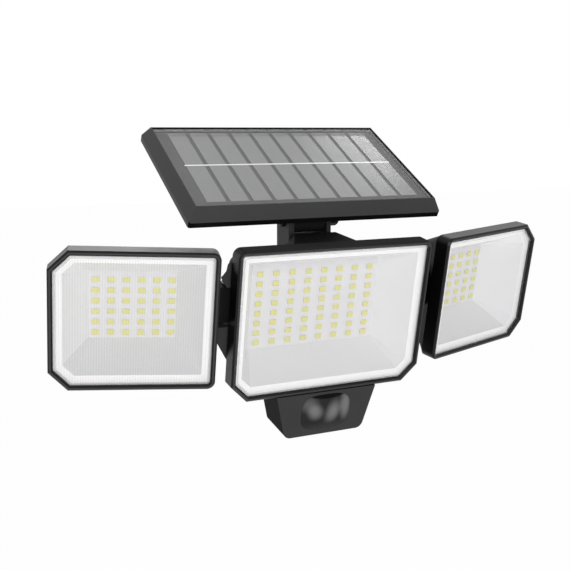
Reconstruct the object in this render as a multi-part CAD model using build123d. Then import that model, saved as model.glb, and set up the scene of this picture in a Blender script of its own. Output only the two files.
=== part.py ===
from build123d import *
import os
from math import cos, radians, sin, sqrt

# A solar security light for a wall: a bracket carries a post with a tilting solar panel, and a
# lamp that tilts below it.  The lamp is a wide centre head with a motion sensor under it and a
# smaller head on each side, which turns on an upright pin between two ears.
#
# Millimetres, +Z up, the front faces -Y.  The origin is the centre of the wall plate's back
# face, so the wall is the plane y = 0.  The panel, the lamp and each side head are drawn in
# frames of their own and then set in place by their hinges, in the pose they are used in.

os.makedirs("parts", exist_ok=True)

# --- pose and hinges --------------------------------------------------------------------------
POST_REACH = 73.0          # wall to the upright plane of the post, which holds both tilt axes
LAMP_AXIS_Z = 27.0         # lamp tilt axis above the plate's centre
PANEL_AXIS_Z = 65.0        # panel tilt axis above the plate's centre
LAMP_RAKE = 10.15          # degrees that the lamp faces down
PANEL_RAKE = 28.8          # degrees that the panel slopes to the front
HEAD_TURN = 14.67          # degrees that each side head faces outwards
LENS_AHEAD = 41.56         # lamp axis to the centre lens, square to the lens
LENS_BELOW = 10.85         # lamp axis to the middle of the centre lens, along the lens
CENTRE_SIZE = (119.0, 84.45)   # centre head's lens opening: wide, high
SIDE_SIZE = (84.4, 73.45)      # side head's lens opening
PIN_INSET = 1.9            # side hinge pins inside the side edge of the centre opening
SIDE_PIN_X = CENTRE_SIZE[0] / 2 - PIN_INSET
SIDE_PIN_DEPTH = 19.0      # side hinge pins behind the centre lens
SIDE_RISE = 5.88           # side lenses above the centre lens
SIDE_GAP = 12.1            # hinge pin to the near edge of a side head's opening, across
SIDE_ARM = SIDE_SIZE[0] / 2 + SIDE_GAP
SIDE_PIN_BEHIND = 23.04    # hinge pin behind the side lens

# --- clearances -------------------------------------------------------------------------------
RUN = 0.05                 # radial play of a pin in its hole
FIT = 0.2                  # play round a piece that drops into a seat
SIDE_PLAY = 0.3            # play at the sides of a hinge barrel

# --- head front: rim, cover, reflector, circuit board -----------------------------------------
RIM_W = 2.8                # rim seen from the front
RIM_PROUD = 1.0            # rim in front of the lens opening
RIM_DEPTH = 8.8            # lens opening to the back edge of the rim
RIM_BEVEL = 0.95           # bevels at both edges of the rim's face
RIM_WALL = 1.4             # rim side wall
CORNER_R = 1.7             # lens opening's round corners
COVER_T = 2.0              # clear cover flange
COVER_SEAT = 0.8           # lens opening to the cover flange
COVER_SLOPE = 1.4          # width of the cover's sloping edge
COVER_RECESS = 0.1         # cover's face behind the lens opening
FLANGE_T = 1.2             # reflector flange and walls
FLANGE_W = 4.7             # reflector flange seen inside the opening
BOARD_T = 1.6
CHIP = (3.5, 2.8, 0.7)     # light chip: wide, high, thick
SHELL_WALL = 2.0
SHELL_STEP = 0.6           # shell set in from the rim
SEAL_T = 0.5
SCREW_R = 1.3
SCREW_HEAD_R = 2.4
BOSS_R = 2.6
SCREW_INSET_Z = 1.225      # screws inside the top and bottom edges of the opening
CENTRE_SCREW_INSET_X = 15.5
SIDE_SCREW_INSET_X = 18.2
CENTRE_COLUMN_COUNT = 8    # light chips
CENTRE_ROW_COUNT = 8
SIDE_COLUMN_COUNT = 6
SIDE_ROW_COUNT = 6

# --- side hinges ------------------------------------------------------------------------------
EAR_TOP_Z = 21.5           # underside of the upper ear
EAR_LOW_Z = -2.0           # top of the lower ear
EAR_FRONT = 10.2           # ears' depth behind the centre lens
EAR_BACK = 27.4
EAR_REACH = 8.2            # upper ear beyond the side edge of the opening, at its front
EAR_END = CENTRE_SIZE[0] / 2 + EAR_REACH
EAR_LOW_REACH = 9.5        # lower ear beyond the side edge of the opening
EAR_LOW_END = CENTRE_SIZE[0] / 2 + EAR_LOW_REACH
EAR_TOP_H = 14.4           # height of the upper ear at its front
EAR_LOW_H = 21.7           # height of the lower ear
EAR_SWEEP = 0.51           # ears step in by this share of the depth
EAR_FALL = 0.36            # the upper ear's top falls by this share of the depth
PIN_SEAT = 3.0             # pin head's seat above the underside of the upper ear
PIN_DEEP = 8.5             # pin's end below the top of the lower ear
PIN_HEAD_R = 3.0
PIN_HEAD_T = 1.8
BARREL_R = 6.3
BARREL_POCKET = 0.6        # play round the barrel
SIDE_PIN_R = 2.0
WASHER_T = 0.8
ARM_T = 8.6                # side head's arm, front to back

# --- lamp hinge and bracket -------------------------------------------------------------------
POST_W = 28.4
POST_D = 18.0
HUB_R = 10.0
BOLT_R = 2.5
BOLT_HEAD_R = 4.6
BOLT_HEAD_T = 3.0
LUG_T = 3.6
LUG_R = 8.4
DISC_T = 0.8               # friction discs between lugs and hub
DISC_R = 7.0
PLATE_W = 40.0
PLATE_H = 70.0
PLATE_T = 4.0
PLATE_R = 8.0
WALL_HOLE_X = 24.0
WALL_HOLE_Z = 52.0
WALL_HOLE_R = 2.25
ARM_TOP = 35.0             # top of the bracket's arm above the plate's centre
ARM_LOW = 19.0
ARM_WALL = 2.6
RIB_T = 2.0
POST_FOOT_Z = 39.0         # joint between bracket and post
SPIGOT_H = 9.0
POST_WALL = 2.8
CHEEK_R = 8.8              # top of the post's two cheeks, round the panel's axis
CHEEK_T = 3.3
KNUCKLE_R = 8.4
KNUCKLE_W = POST_W - 2 * CHEEK_T - 2 * SIDE_PLAY
KNOB_R = 5.4               # hand nut of the panel hinge
KNOB_L = 7.8
KNOB_FLUTE_COUNT = 8
HUMP_W = 42.8              # fairing in front of the post: wide at its foot
HUMP_RIDGE_W = 27.0        # and at its ridge
HUMP_FRONT = 16.4          # depth of its front edge
HUMP_RIDGE_Z = 43.5
HUMP_RIDGE = 31.8          # depth of its ridge
HUMP_ROOT = 29.4           # depth of its back face at the shell

# --- solar panel ------------------------------------------------------------------------------
PANEL_AHEAD = 28.7         # panel's middle behind its hinge, along the panel
PANEL_ABOVE = 21.8         # glass above the hinge, square to the panel
GLASS = (155.2, 87.8, 2.0)
PANEL_LAND = 0.7           # frame's flat top edge round the glass
PANEL_SLOPE_W = 4.87       # frame's sloping edge, sideways from the glass
PANEL_SLOPE_H = 8.0        # and down
PANEL_LIP_H = 3.1
GLASS_DROP = 0.9           # glass below the frame's top edge
CELL_FIELD = (139.5, 77.9)
CELL_SHIFT = (1.5, 2.9)    # cell field towards the right and the back
BUSBAR_SHIFT = 3.7         # busbar towards the back
CELL_COUNT = 10
CELL_GAP = 2.6
PANEL_SCREW_INSET = 6.0    # panel screws inside the edges of the glass
CELL_T = 0.25
BUSBAR_W = 1.3
BUSBAR_OUT = 0.7           # busbar beyond the outer cells
BUSBAR_T = 0.1
BACKSHEET_T = 0.6
PAN_T = 2.2                # back cover
PAN_SEAL_W = 1.6

# --- battery, sensor, button ------------------------------------------------------------------
BATTERY_R = 9.2
BATTERY_L = 65.0
BATTERY_Z = -22.5          # battery below the lens middle
BAY_WALL = 2.0
BAY_END = 5.0              # room at each end of the battery
BAY_SCREW_OUT = 3.0        # cover screws beyond the bay's end walls
SENSOR_TOP_W = 66.2        # sensor housing's face, seen from the front
SENSOR_LOW_W = 52.0
SENSOR_H = 27.9            # face below the centre head's rim
SENSOR_LOW_Z = -(CENTRE_SIZE[1] / 2 + RIM_W + SENSOR_H)
SENSOR_DEPTH = 25.4
SENSOR_FACE = -0.9         # face in front of the lens opening
SENSOR_R = 5.0
SENSOR_WALL = 2.0
EYE = (29.6, 19.4)         # sensor window
EYE_UP = 14.5              # window's middle above the housing's lowest edge
EYE_Z = SENSOR_LOW_Z + EYE_UP
SENSOR_BOARD_DEPTH = 6.8
SENSOR_BOARD_T = 1.6
SENSOR_BOARD_W = 48.0
SENSOR_BOARD_H = 18.0
EYE_R = 6.0
EYE_DOME = 21.0            # radius of the window's dome
BUTTON_R = 4.0
BUTTON_DEPTH = 16.0        # button behind the lens opening
BUTTON_PROUD = 2.0
BUTTON_TRAVEL = 1.2


# --- frames -----------------------------------------------------------------------------------
LAMP = Pos(0, -POST_REACH, LAMP_AXIS_Z) * Rot(LAMP_RAKE, 0, 0) * Pos(0, -LENS_AHEAD, -LENS_BELOW)
SIDE = LAMP * Pos(SIDE_PIN_X, SIDE_PIN_DEPTH, SIDE_RISE) * Rot(0, 0, HEAD_TURN)
SIDE = SIDE * Pos(SIDE_ARM, -SIDE_PIN_BEHIND, 0)
PANEL = Pos(0, -POST_REACH, PANEL_AXIS_Z) * Rot(PANEL_RAKE, 0, 0)
PANEL = PANEL * Pos(0, PANEL_AHEAD, PANEL_ABOVE)


# --- small helpers ----------------------------------------------------------------------------
def at_depth(face, depth):
    """Stands a flat face upright, seen from the front, at a depth behind the frame's origin."""
    return Plane.XZ.offset(-depth) * face


def corner_box(x0, x1, z0, z1, sizes, cut=(1, 1, 1, 1)):
    """Rectangle whose corners (top left, top right, bottom right, bottom left) are cut or round."""
    corners = [(x0, z1, 0, -1, 1, 0), (x1, z1, -1, 0, 0, -1), (x1, z0, 0, 1, -1, 0), (x0, z0, 1, 0, 0, 1)]
    ends = []
    edges = []
    for (x, z, ax, az, bx, bz), size, is_cut in zip(corners, sizes, cut):
        start = (x + ax * size, z + az * size)
        end = (x + bx * size, z + bz * size)
        inset = size * (1 - sqrt(0.5))
        middle = (x + (ax + bx) * inset, z + (az + bz) * inset)
        edges.append(Line(start, end) if is_cut else ThreePointArc(start, middle, end))
        ends.append((start, end))
    for n in range(4):
        edges.append(Line(ends[n][1], ends[(n + 1) % 4][0]))
    return make_face(edges)


def push(face, depth, length):
    """Solid from an upright face at a depth, running backwards."""
    return extrude(at_depth(face, depth), amount=length, dir=(0, 1, 0))


def taper(face0, depth0, face1, depth1):
    """Straight-walled solid between two upright faces."""
    return loft([at_depth(face0, depth0), at_depth(face1, depth1)], ruled=True)


def slab(x0, x1, y0, y1, z0, z1):
    """Box between two corners."""
    middle = ((x0 + x1) / 2, (y0 + y1) / 2, (z0 + z1) / 2)
    return Pos(*middle) * Box(x1 - x0, y1 - y0, z1 - z0)


def rod(radius, start, end):
    """Cylinder between two points."""
    axis = Vector(*end) - Vector(*start)
    base = Plane(origin=start, z_dir=axis)
    return extrude(base * Circle(radius), amount=axis.length)


def group(solids):
    """Separate solids kept in one node."""
    return Compound(children=[s for item in solids for s in item.solids()])


def screw(x, z, depth0, depth1):
    """Pan-head screw, driven from behind: tip at depth0, head on depth1."""
    shank = rod(SCREW_R, (x, depth0, z), (x, depth1, z))
    head = rod(SCREW_HEAD_R, (x, depth1, z), (x, depth1 + SCREW_HEAD_R * 0.6, z))
    head = chamfer(head.edges().group_by(Axis.Y)[-1], SCREW_HEAD_R * 0.3)
    slot = slab(x - SCREW_HEAD_R, x + SCREW_HEAD_R, depth1 + 0.9, depth1 + 2, z - 0.35, z + 0.35)
    return shank + head - slot


# --- heads ------------------------------------------------------------------------------------
class Head:
    """Sizes of one lamp head in its own frame: x right, y into the head, z up, lens middle at 0."""

    def __init__(self, size, cut, cut_corners, floor_insets, depth, grid, chip_margins, rear_insets, screw_inset):
        self.half_w = size[0] / 2
        self.half_h = size[1] / 2
        self.cut = cut
        self.cut_corners = cut_corners
        self.floor = self.inset(floor_insets)
        self.depth = depth
        self.grid = grid
        self.chip_margins = chip_margins
        self.rear = self.inset(rear_insets)
        x = self.half_w - screw_inset
        z = self.half_h - SCREW_INSET_Z
        self.screws = [(-x, z), (x, z), (-x, -z), (x, -z)]
        self.board_depth = depth + CHIP[2]
        self.back_depth = self.board_depth + BOARD_T + SHELL_WALL
        self.shell_start = RIM_DEPTH + SEAL_T

    def inset(self, insets):
        """Sides (left, right, bottom, top) set in from the lens opening's."""
        left, right, bottom, top = insets
        return left - self.half_w, self.half_w - right, bottom - self.half_h, self.half_h - top

    def sizes(self, grow):
        """Corner sizes of the outline grown by an amount: cuts and radii both follow it."""
        large = self.cut + grow * (2 - sqrt(2))
        small = max(CORNER_R + grow, 0.4)
        return [large if c else small for c in self.cut_corners]

    def outline(self, grow):
        """Lens opening grown outwards by an amount."""
        w = self.half_w + grow
        h = self.half_h + grow
        return corner_box(-w, w, -h, h, self.sizes(grow), self.cut_corners)

    def rear_outline(self, shrink):
        """Back of the shell, or of its hollow."""
        x0, x1, z0, z1 = self.rear
        sizes = self.sizes(CORNER_R - shrink)
        return corner_box(x0 + shrink, x1 - shrink, z0 + shrink, z1 - shrink, sizes, self.cut_corners)

    def body(self, grow, shrink):
        """Tapered block of the shell, grown at the rim and shrunk at the back."""
        back = self.back_depth - shrink
        return taper(self.outline(grow), self.shell_start, self.rear_outline(shrink), back)


CENTRE = Head(
    size=CENTRE_SIZE, cut=8.59, cut_corners=(0, 0, 1, 1),
    floor_insets=(17.5, 17.5, 18.0, 14.0), depth=25.2,
    grid=(CENTRE_COLUMN_COUNT, CENTRE_ROW_COUNT), chip_margins=(3.1, 3.9, 2.375, 4.575),
    rear_insets=(10.0, 10.0, 8.7, 6.2), screw_inset=CENTRE_SCREW_INSET_X,
)
SIDE_HEAD = Head(
    size=SIDE_SIZE, cut=8.9, cut_corners=(0, 1, 1, 0),
    floor_insets=(18.1, 18.1, 17.1, 16.7), depth=25.8,
    grid=(SIDE_COLUMN_COUNT, SIDE_ROW_COUNT), chip_margins=(0.975, 1.875, 2.125, 3.525),
    rear_insets=(11.2, 10.2, 8.2, 7.7), screw_inset=SIDE_SCREW_INSET_X,
)


def screw_seat(head):
    """Depth at which the head's screws sit, inside the slope of its shell."""
    run = head.back_depth - head.shell_start
    edge = head.half_h + RIM_W - SHELL_STEP
    slope = (edge - max(head.rear[3], -head.rear[2])) / run
    return head.shell_start + (edge - abs(head.screws[0][1]) - SCREW_R) / slope - 1.5


def front_frame(head):
    frame = push(head.outline(RIM_W), -RIM_PROUD, RIM_PROUD + RIM_DEPTH)
    frame = frame - push(head.outline(0), -RIM_PROUD, RIM_PROUD + RIM_DEPTH)
    front = frame.edges().group_by(Axis.Y)[0]
    frame = chamfer(front, RIM_BEVEL)
    frame = frame - push(head.outline(RIM_W - RIM_WALL), COVER_SEAT, RIM_DEPTH)
    for x, z in head.screws:
        edge = (head.half_h + RIM_W - 0.2) * (1 if z > 0 else -1)
        boss = slab(x - BOSS_R, x + BOSS_R, COVER_SEAT + COVER_T + FLANGE_T + 0.8, RIM_DEPTH, *sorted((z * 0.95, edge)))
        frame = frame + (boss & push(head.outline(RIM_W), 0, RIM_DEPTH))
        frame = frame - rod(SCREW_R + RUN, (x, COVER_SEAT + COVER_T + FLANGE_T + 1.4, z), (x, RIM_DEPTH + 1, z))
    return frame


def lens_cover(head):
    flange = push(head.outline(RIM_W - RIM_WALL - FIT), COVER_SEAT, COVER_T)
    raised = taper(head.outline(-FIT - COVER_SLOPE), COVER_RECESS, head.outline(-FIT), COVER_SEAT)
    return flange + raised


def reflector(head):
    seat = COVER_SEAT + COVER_T
    mouth = head.outline(-FLANGE_W)
    floor = corner_box(*head.floor, (0.6,) * 4, head.cut_corners)
    x0, x1, z0, z1 = head.floor
    wall = FLANGE_T
    outer_floor = corner_box(x0 - wall, x1 + wall, z0 - wall, z1 + wall, (1.0,) * 4, head.cut_corners)
    flange = push(head.outline(RIM_W - RIM_WALL - FIT), seat, FLANGE_T)
    tray = taper(head.outline(wall - FLANGE_W), seat, outer_floor, head.board_depth)
    hollow = taper(mouth, seat, floor, head.board_depth)
    return (flange + tray) - hollow


def led_board(head):
    x0, x1, z0, z1 = head.floor
    board = corner_box(x0 - 3, x1 + 3, z0 - 3, z1 + 3, (2, 2, 2, 2))
    return push(board, head.board_depth, BOARD_T)


def spread(low, high, count):
    """Evenly spaced middles from one end to the other."""
    return [low + (high - low) * n / max(count - 1, 1) for n in range(count)]


def led_chips(head):
    """Chips that fill the tray's floor between its margins (left, right, bottom, top)."""
    columns, rows = head.grid
    left, right, bottom, top = head.chip_margins
    x0, x1, z0, z1 = head.floor
    half_w = CHIP[0] / 2
    half_h = CHIP[1] / 2
    chips = []
    for x in spread(x0 + left + half_w, x1 - right - half_w, columns):
        for z in spread(z0 + bottom + half_h, z1 - top - half_h, rows):
            chips.append(Pos(x, head.depth + CHIP[2] / 2, z) * Box(CHIP[0], CHIP[2], CHIP[1]))
    return group(chips)


def seal(head):
    ring = push(head.outline(RIM_W - SHELL_STEP - 0.1), RIM_DEPTH, SEAL_T)
    return ring - push(head.outline(RIM_W - RIM_WALL), RIM_DEPTH, SEAL_T)


def plain_shell(head):
    """Back shell without its hinges: tapered tub, a lip that enters the rim, and screw bosses."""
    outside = RIM_W - SHELL_STEP
    shell = head.body(outside, 0)
    shell = fillet(shell.edges().group_by(Axis.Y)[-1], 1.2)
    hollow = taper(
        head.outline(outside - SHELL_WALL), head.shell_start,
        head.rear_outline(SHELL_WALL), head.board_depth + BOARD_T,
    )
    seat = screw_seat(head)
    for x, z in head.screws:
        boss = rod(BOSS_R, (x, head.shell_start, z), (x, head.back_depth, z))
        hollow = hollow - boss
    shell = shell - hollow
    lip_grow = RIM_W - RIM_WALL - FIT
    lip_start = COVER_SEAT + COVER_T + FLANGE_T + 0.3
    lip = push(head.outline(lip_grow), lip_start, head.shell_start - lip_start)
    lip = lip - push(head.outline(lip_grow - 1.1), lip_start, head.shell_start)
    for x, z in head.screws:
        lip = lip - slab(x - BOSS_R - 0.4, x + BOSS_R + 0.4, 0, head.shell_start, z - 6, z + 6)
    shell = shell + lip
    for x, z in head.screws:
        shell = shell - rod(SCREW_R + FIT, (x, head.shell_start - 1, z), (x, seat + 1, z))
        shell = shell - rod(SCREW_HEAD_R + 0.4, (x, seat, z), (x, head.back_depth + 1, z))
    return shell


def head_screws(head):
    tip = COVER_SEAT + COVER_T + FLANGE_T + 1.6
    return group([screw(x, z, tip, screw_seat(head)) for x, z in head.screws])


# --- side head back: arm and barrel -----------------------------------------------------------
def pin_in_side():
    """Hinge pin seen in the side head's frame."""
    return -SIDE_ARM, SIDE_PIN_BEHIND


def barrel_span():
    """Bottom and top of the side head's barrel, in the side head's frame."""
    gap = WASHER_T + SIDE_PLAY / 2
    return EAR_LOW_Z + gap - SIDE_RISE, EAR_TOP_Z - gap - SIDE_RISE


def side_shell():
    head = SIDE_HEAD
    x, y = pin_in_side()
    low, top = barrel_span()
    shell = plain_shell(head)
    edge = -head.half_w
    root = head.shell_start + 4.2
    reach = Polyline(
        (x, y - ARM_T / 2), (edge + 2.2, root), (edge + 12.2, root), (edge + 16.2, root + 13.5),
        (x, y + ARM_T / 2), close=True
    )
    arm = Pos(0, 0, low) * extrude(make_face(reach), amount=top - low)
    arm = arm - head.body(RIM_W - SHELL_STEP - SHELL_WALL / 2, SHELL_WALL / 2)
    barrel = rod(BARREL_R, (x, y, low), (x, y, top))
    bore = rod(SIDE_PIN_R + RUN, (x, y, low), (x, y, top))
    return shell + arm + barrel - bore


# --- centre shell: ears, hump, hinge lugs, battery bay ----------------------------------------
def ear(outline):
    """Ear of the right-hand hinge: its front outline swept back, inwards and down."""
    way = Vector(-EAR_SWEEP, 1, -EAR_FALL)
    return extrude(at_depth(outline, EAR_FRONT), amount=(EAR_BACK - EAR_FRONT) * way.length, dir=way)


def ears(side):
    """Upper and lower ear of one side hinge."""
    e = EAR_END
    root = SIDE_PIN_X - 9
    top = EAR_TOP_Z + EAR_TOP_H
    low = EAR_LOW_Z - EAR_LOW_H
    rise = (EAR_BACK - EAR_FRONT) * EAR_FALL
    upper = make_face(Polyline(
        (root, EAR_TOP_Z - 1), (e - 4.2, EAR_TOP_Z - 1), (e - 3.8, EAR_TOP_Z), (e - 1.4, top - 10.9),
        (e, top - 8.5), (e, top - 7.7), (e - 0.8, top - 7.2), (e - 2.8, top - 4.6), (e - 3.5, top - 0.9),
        (e - 4.2, top), (root, top), close=True
    ))
    f = EAR_LOW_END
    lower = make_face(Polyline(
        (root, EAR_LOW_Z + rise + 1), (f, EAR_LOW_Z + rise + 1), (f, EAR_LOW_Z - 7.5), (f - 8.2, low),
        (root, low), close=True
    ))
    inner = root - 10
    both = ear(upper) & slab(inner, e + 1, 0, EAR_BACK + 1, EAR_TOP_Z, top + 1)
    both = both + (ear(lower) & slab(inner, f + 1, 0, EAR_BACK + 1, low, EAR_LOW_Z))
    return both if side > 0 else mirror(both, Plane.YZ)


def hinge_pocket(side):
    """Room for a side head's barrel and for the sweep of its arm."""
    x = side * SIDE_PIN_X
    round_part = rod(BARREL_R + BARREL_POCKET, (x, SIDE_PIN_DEPTH, EAR_LOW_Z), (x, SIDE_PIN_DEPTH, EAR_TOP_Z))
    far = side * (EAR_LOW_END + 4)
    open_part = slab(*sorted((x, far)), EAR_FRONT + 1.2, EAR_BACK + 2 * BARREL_R, EAR_LOW_Z, EAR_TOP_Z)
    return round_part + open_part


def pocket_wall(side):
    """Wall that closes the shell behind a hinge pocket."""
    x = side * SIDE_PIN_X
    radius = BARREL_R + BARREL_POCKET + 1.4
    low = EAR_LOW_Z - 3
    top = EAR_TOP_Z + 3
    drum = rod(radius, (x, SIDE_PIN_DEPTH, low), (x, SIDE_PIN_DEPTH, top))
    inner = x - side * radius
    return drum & slab(*sorted((x, inner)), 0, SIDE_PIN_DEPTH + radius, low, top)


def hump():
    """Fairing on top of the shell in front of the post: it rises to the back as the shell falls."""
    head = CENTRE
    edge = head.half_h + RIM_W - SHELL_STEP
    fall = (edge - head.rear[3]) / (head.back_depth - head.shell_start)
    front_z = edge - fall * (HUMP_FRONT - head.shell_start) + 0.2
    back_z = edge - fall * (HUMP_RIDGE - head.shell_start) + 0.6
    root_z = head.rear[3] - 6
    foot = HUMP_W / 2
    ridge = HUMP_RIDGE_W / 2
    front = Polyline(
        (-foot, root_z), (-foot, front_z - 0.2), (-foot + 0.1, front_z),
        (foot - 0.1, front_z), (foot, front_z - 0.2), (foot, root_z), close=True
    )
    back = Polyline(
        (-foot, root_z), (-foot, back_z), (-ridge, HUMP_RIDGE_Z),
        (ridge, HUMP_RIDGE_Z), (foot, back_z), (foot, root_z), close=True
    )
    mound = taper(make_face(front), HUMP_FRONT, make_face(back), HUMP_RIDGE)
    behind = Plane.YZ.offset(-foot - 1) * make_face(Polyline(
        (HUMP_ROOT, root_z), (HUMP_RIDGE, HUMP_RIDGE_Z), (HUMP_RIDGE + 5, HUMP_RIDGE_Z), (HUMP_RIDGE + 5, root_z), close=True
    ))
    return mound - extrude(behind, amount=HUMP_W + 2)


def battery_bay(grow):
    """Bay behind the shell for the battery, lying across."""
    half = BATTERY_L / 2 + BAY_END + grow
    low = BATTERY_Z - BATTERY_R - FIT - grow
    top = BATTERY_Z + BATTERY_R + FIT + grow
    back = battery_depth() + BATTERY_R + FIT + grow
    face = corner_box(-half, half, low, top, (2.5, 2.5, 2.5, 2.5))
    return push(face, CENTRE.back_depth - grow, back - CENTRE.back_depth + grow)


def battery_depth():
    return CENTRE.back_depth + BATTERY_R + 1.0


def bay_screw_x():
    """Screws of the battery cover from the lamp's middle."""
    return BATTERY_L / 2 + BAY_END + BAY_WALL + BAY_SCREW_OUT


def bay_back():
    """Depth of the open back of the battery bay, where its cover lands."""
    return battery_depth() + 2.0


def centre_shell():
    head = CENTRE
    shell = plain_shell(head)
    hollow = head.body(RIM_W - SHELL_STEP - SHELL_WALL, SHELL_WALL)
    tub = head.body(RIM_W - SHELL_STEP - SHELL_WALL / 2, SHELL_WALL / 2)
    shell = shell + (hump() - tub)
    for side in (-1, 1):
        x = side * SIDE_PIN_X
        shell = shell + (ears(side) - tub)
        shell = shell + pocket_wall(side)
        shell = shell - hinge_pocket(side)
        seat = EAR_TOP_Z + PIN_SEAT
        top = EAR_TOP_Z + EAR_TOP_H
        shell = shell - rod(SIDE_PIN_R + RUN, (x, SIDE_PIN_DEPTH, EAR_LOW_Z - PIN_DEEP - 0.5), (x, SIDE_PIN_DEPTH, top))
        shell = shell - rod(PIN_HEAD_R + FIT, (x, SIDE_PIN_DEPTH, seat), (x, SIDE_PIN_DEPTH, top))
    shell = shell + (battery_bay(BAY_WALL) - hollow)
    behind = slab(
        -head.half_w, head.half_w, bay_back(), bay_back() + 3 * BATTERY_R,
        BATTERY_Z - 2 * BATTERY_R, BATTERY_Z + 2 * BATTERY_R
    )
    shell = shell - battery_bay(0) - behind
    shell = shell + hinge_lugs()
    for x in (-bay_screw_x(), bay_screw_x()):
        shell = shell - rod(SCREW_R - 0.1, (x, bay_back() - 8, BATTERY_Z), (x, bay_back() + 1, BATTERY_Z))
    return shell


def hinge_lugs():
    """Pair of lugs that straddle the bracket's hub."""
    inner = POST_W / 2 + DISC_T + SIDE_PLAY / 2
    lugs = []
    for side in (-1, 1):
        x0, x1 = sorted((side * inner, side * (inner + LUG_T)))
        eye = rod(LUG_R, (x0, LENS_AHEAD, LENS_BELOW), (x1, LENS_AHEAD, LENS_BELOW))
        root = CENTRE.back_depth - 1.0
        web = Plane.YZ.offset(x0) * make_face(Polyline(
            (root, LENS_BELOW + 17), (LENS_AHEAD + 2.2, LENS_BELOW + LUG_R - 0.3),
            (LENS_AHEAD + 2.2, LENS_BELOW - LUG_R + 0.3), (root, LENS_BELOW - 15), close=True
        ))
        lugs.append(eye + extrude(web, amount=x1 - x0))
    both = lugs[0] + lugs[1]
    return both - rod(BOLT_R + RUN, (-POST_W, LENS_AHEAD, LENS_BELOW), (POST_W, LENS_AHEAD, LENS_BELOW))


def battery():
    y = battery_depth()
    cell = rod(BATTERY_R, (-BATTERY_L / 2, y, BATTERY_Z), (BATTERY_L / 2 - 1.2, y, BATTERY_Z))
    cell = chamfer(cell.edges(), 0.6)
    return cell + rod(2.8, (BATTERY_L / 2 - 1.2, y, BATTERY_Z), (BATTERY_L / 2, y, BATTERY_Z))


def battery_contacts():
    """Spring plate at each end of the battery."""
    y = battery_depth()
    plates = []
    for side in (-1, 1):
        x = side * (BATTERY_L / 2 + BAY_END - 0.8)
        plate = slab(x - 0.6, x + 0.6, y - 7, y + 1.6, BATTERY_Z - 7, BATTERY_Z + 7)
        tip = side * (BATTERY_L / 2 + FIT)
        finger = slab(*sorted((x, tip)), y - 2, y + 1.2, BATTERY_Z - 2, BATTERY_Z + 2)
        plates.append(plate + finger)
    return group(plates)


def battery_cover():
    """Domed lid over the back of the bay, with a screw ear at each end."""
    half = BATTERY_L / 2 + BAY_END + BAY_WALL
    high = BATTERY_R + FIT + BAY_WALL
    rim = corner_box(-half - 6, half + 6, BATTERY_Z - high, BATTERY_Z + high, (4.5, 4.5, 4.5, 4.5))
    crown = corner_box(-half + 3, half - 3, BATTERY_Z - high + 4, BATTERY_Z + high - 4, (3, 3, 3, 3))
    seat = bay_back()
    skirt = corner_box(-half, half, BATTERY_Z - high, BATTERY_Z + high, (4.5, 4.5, 4.5, 4.5))
    lid = push(rim, seat, 2.0) + taper(skirt, seat + 2.0, crown, seat + 9.5)
    pocket = rod(BATTERY_R + FIT, (-half + 5, battery_depth(), BATTERY_Z), (half - 5, battery_depth(), BATTERY_Z))
    lid = lid - pocket
    for x in (-bay_screw_x(), bay_screw_x()):
        lid = lid - rod(SCREW_R + FIT, (x, seat, BATTERY_Z), (x, seat + 10, BATTERY_Z))
        lid = lid - rod(SCREW_HEAD_R + FIT, (x, seat + 2.0, BATTERY_Z), (x, seat + 10, BATTERY_Z))
    return lid


def cover_screws():
    return group([screw(x * bay_screw_x(), BATTERY_Z, bay_back() - 7, bay_back() + 2.0) for x in (-1, 1)])


# --- sensor -----------------------------------------------------------------------------------
def sensor_outline(grow, top_z):
    """Sensor housing from the front, carried up to a height with the same side slopes."""
    face_top = -(CENTRE.half_h + RIM_W)
    low = SENSOR_LOW_Z - grow
    slope = (SENSOR_TOP_W - SENSOR_LOW_W) / 2 / (face_top - SENSOR_LOW_Z)
    half_low = SENSOR_LOW_W / 2 + grow
    half_top = half_low + slope * (top_z - low)
    face = make_face(Polyline((-half_top, top_z), (half_top, top_z), (half_low, low), (-half_low, low), close=True))
    return fillet(face.vertices().group_by(Axis.Y)[0], SENSOR_R + grow)


def window(grow):
    """Sensor window's outline."""
    return Pos(0, EYE_Z) * RectangleRounded(EYE[0] + 2 * grow, EYE[1] + 2 * grow, EYE_R + grow)


def above_sensor(grow):
    """Everything of the head that the top of the sensor housing runs up to."""
    rim = push(CENTRE.outline(RIM_W + grow), -10, 10 + RIM_DEPTH)
    seal_gap = push(CENTRE.outline(RIM_W - SHELL_STEP + grow), RIM_DEPTH, SEAL_T + 0.2)
    return rim + seal_gap + CENTRE.body(RIM_W - SHELL_STEP + grow, 0)


def sensor_housing():
    depth = SENSOR_DEPTH
    top = -(CENTRE.half_h - 12)
    body = push(sensor_outline(0, top), SENSOR_FACE, depth)
    body = chamfer(body.edges().group_by(Axis.Y)[-1], 1.0)
    hollow = push(sensor_outline(-SENSOR_WALL, top), SENSOR_FACE + SENSOR_WALL, depth - 2 * SENSOR_WALL)
    body = body - hollow - above_sensor(0.1)
    body = body - push(window(0), SENSOR_FACE, SENSOR_WALL + 1)
    ledge = sensor_board_low()
    for x in (-1, 1):
        ledge_x = x * (SENSOR_BOARD_W / 2 - 4)
        body = body + slab(ledge_x - 3, ledge_x + 3, SENSOR_FACE + 1, SENSOR_BOARD_DEPTH - FIT, ledge, ledge + 3.5)
    y = BUTTON_DEPTH
    body = body - rod(BUTTON_R + 0.35, (0, y, SENSOR_LOW_Z), (0, y, SENSOR_LOW_Z + SENSOR_WALL + 0.5))
    return body


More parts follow.
